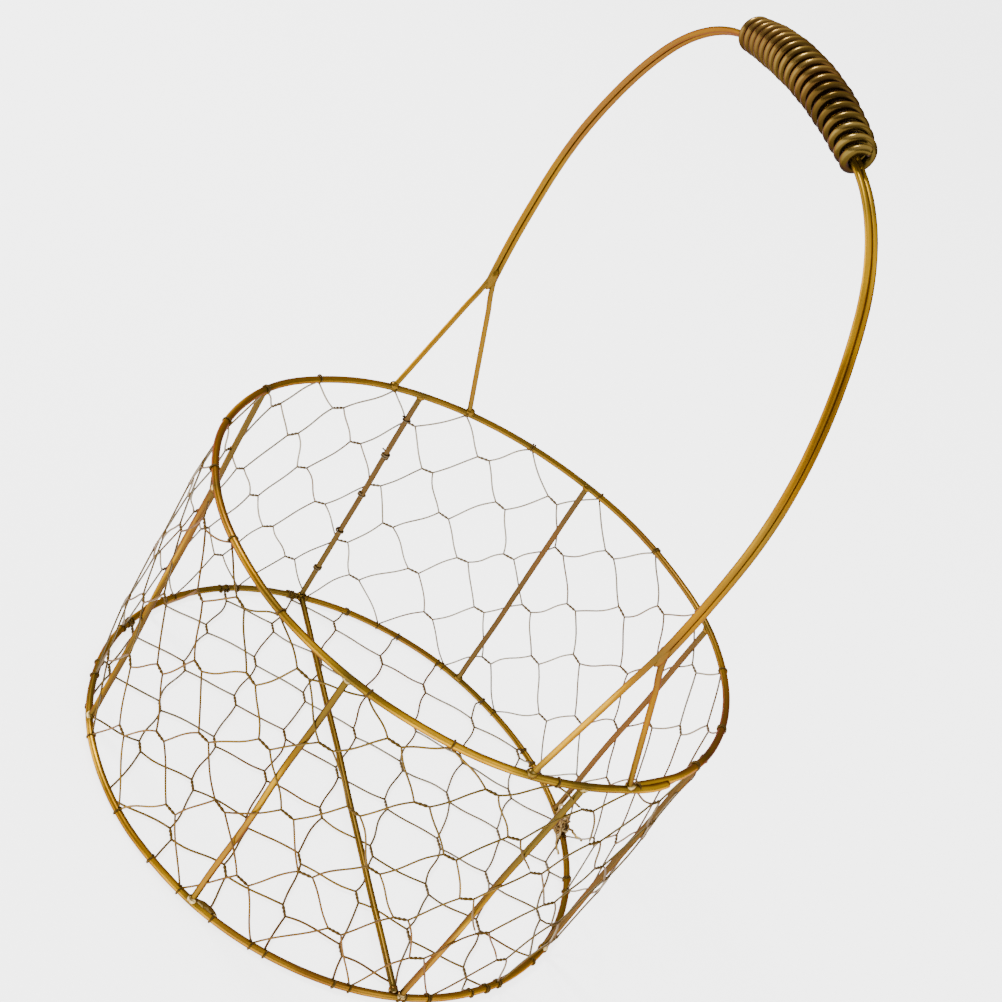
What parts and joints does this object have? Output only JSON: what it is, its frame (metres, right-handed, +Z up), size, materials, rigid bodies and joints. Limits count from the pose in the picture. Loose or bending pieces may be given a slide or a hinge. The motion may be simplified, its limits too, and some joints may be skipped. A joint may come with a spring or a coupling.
{
  "type": "egg collection basket",
  "caption": "Round wire egg basket with hexagonal netting on its wall and base, and a tall fixed bow handle with a coiled wire grip.",
  "frame": {"origin": "centre of the base ring, on the plane the basket stands on", "axes": "+Z up, +X towards the right-hand fork of the handle, so the handle stands in the XZ plane"},
  "size_m": [0.2514, 0.2444, 0.3777],
  "materials": {
    "frame_wire": "steel wire with a worn antique gold finish, brown at the joints",
    "grip_wire": "olive bronze wire with bright worn crests",
    "net_wire": "thin galvanised netting with a dulled gold finish",
    "weld_metal": "rough weld and braze metal under the same finish"
  },
  "bodies": {
    "root": {"top_rim": "frame_wire", "base_ring": "frame_wire", "rib_right": "frame_wire", "rib_back_right": "frame_wire", "rib_back": "frame_wire", "rib_back_left": "frame_wire", "rib_left": "frame_wire", "rib_front_left": "frame_wire", "rib_front": "frame_wire", "rib_front_right": "frame_wire", "base_cross_wire": "frame_wire", "bow_wire_front": "frame_wire", "bow_wire_back": "frame_wire", "grip_coil": "grip_wire", "netting_right_to_back_right": "net_wire", "netting_back_right_to_back": "net_wire", "netting_back_to_back_left": "net_wire", "netting_back_left_to_left": "net_wire", "netting_left_to_front_left": "net_wire", "netting_front_left_to_front": "net_wire", "netting_front_to_front_right": "net_wire", "netting_front_right_to_right": "net_wire", "base_netting_front": "net_wire", "base_netting_back": "net_wire", "rim_ties": "net_wire", "ring_ties": "net_wire", "seam_ties": "net_wire", "fork_braze_right": "weld_metal", "fork_braze_left": "weld_metal", "rim_weld_beads": "weld_metal", "ring_weld_beads": "weld_metal", "fork_weld_beads": "weld_metal"}
  },
  "joints": []
}
